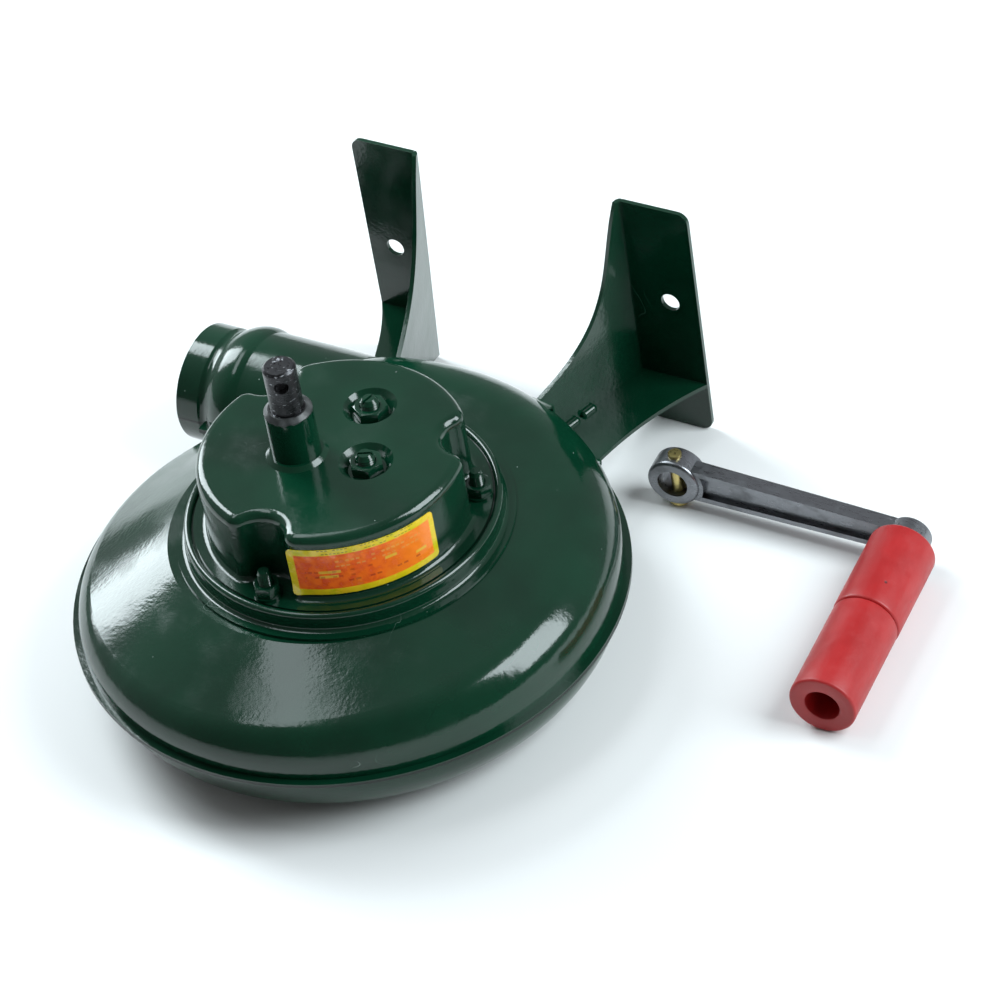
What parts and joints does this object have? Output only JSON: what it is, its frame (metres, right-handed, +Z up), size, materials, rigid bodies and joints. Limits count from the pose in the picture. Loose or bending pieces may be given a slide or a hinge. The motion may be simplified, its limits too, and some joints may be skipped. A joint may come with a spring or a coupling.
{
  "type": "hand crank forge blower",
  "caption": "Hand-cranked centrifugal air blower with a scroll housing, round outlet pipe, gear case and two bracket feet, its crank handle taken off and lying beside it.",
  "frame": {"origin": "under the middle of the whole part, on the surface it rests on", "axes": "+Z up along the crank shaft, +X towards the loose crank and opposite to the air outlet, +Y towards the bracket feet"},
  "size_m": [0.354, 0.2928, 0.155],
  "materials": {
    "green_paint": "gloss, dark green",
    "bare_steel": "machined, lightly scratched",
    "gear_steel": "machined, oiled",
    "fan_steel": "zinc coated sheet",
    "crank_metal": "satin, plated",
    "yellow_zinc": "yellow passivated",
    "red_plastic": "satin, lightly rubbed",
    "label_film": "printed film, yellow border and orange panel"
  },
  "bodies": {
    "blower": {"front_shell": "green_paint", "rear_shell": "green_paint", "gear_pan": "green_paint", "gear_cover": "green_paint", "cover_studs": "green_paint", "cover_washers": "green_paint", "cover_nuts": "green_paint", "crank_sleeve": "green_paint", "weld_nuts": "green_paint", "pivot_screws": "green_paint", "lock_nuts": "green_paint", "label": "label_film", "right_leg": "green_paint", "left_leg": "green_paint", "weld_beads": "green_paint", "shaft_bushes": "bare_steel"},
    "crank_spindle": {"crank_shaft": "bare_steel", "crank_gear": "gear_steel", "shaft_clip": "bare_steel", "shaft_spacer": "bare_steel"},
    "lay_train": {"lay_shaft": "bare_steel", "lay_pinion": "gear_steel", "lay_gear": "gear_steel"},
    "fan": {"fan_shaft": "bare_steel", "fan_pinion": "gear_steel", "fan_plate": "fan_steel", "fan_hub": "fan_steel", "fan_nut": "fan_steel", "fan_blades": "fan_steel", "fan_rivets": "fan_steel"},
    "crank": {"crank_arm": "crank_metal", "crank_screw": "yellow_zinc", "grip_pin": "bare_steel", "grip_washer": "fan_steel"},
    "grip": {"grip_outer": "red_plastic", "grip_inner": "red_plastic"}
  },
  "joints": [
    {"name": "fan_turn", "type": "hinge", "parent": "blower", "child": "fan", "pos_m": [-0.04244, 0.00308, 0.06], "axis": [0, 0, 1], "continuous": true},
    {"name": "lay_turn", "type": "hinge", "parent": "blower", "child": "lay_train", "pos_m": [-0.02667, -0.02761, 0.085], "axis": [0, 0, 1], "continuous": true},
    {"name": "crank_turn", "type": "hinge", "parent": "blower", "child": "crank_spindle", "pos_m": [-0.05672, -0.0328, 0.12], "axis": [0, 0, 1], "continuous": true},
    {"name": "crank_lift", "type": "slide", "parent": "blower", "child": "crank", "axis": [0, 0, 1], "range_m": [0, 0.12]},
    {"name": "grip_spin", "type": "hinge", "parent": "crank", "child": "grip", "pos_m": [0.15718, 0.06091, 0.01485], "axis": [0.0785, -0.9969, 0], "continuous": true}
  ],
  "couplings": [
    {"joint": "lay_turn", "follows": "fan_turn", "ratio": -0.23214},
    {"joint": "crank_turn", "follows": "fan_turn", "ratio": 0.069149}
  ]
}
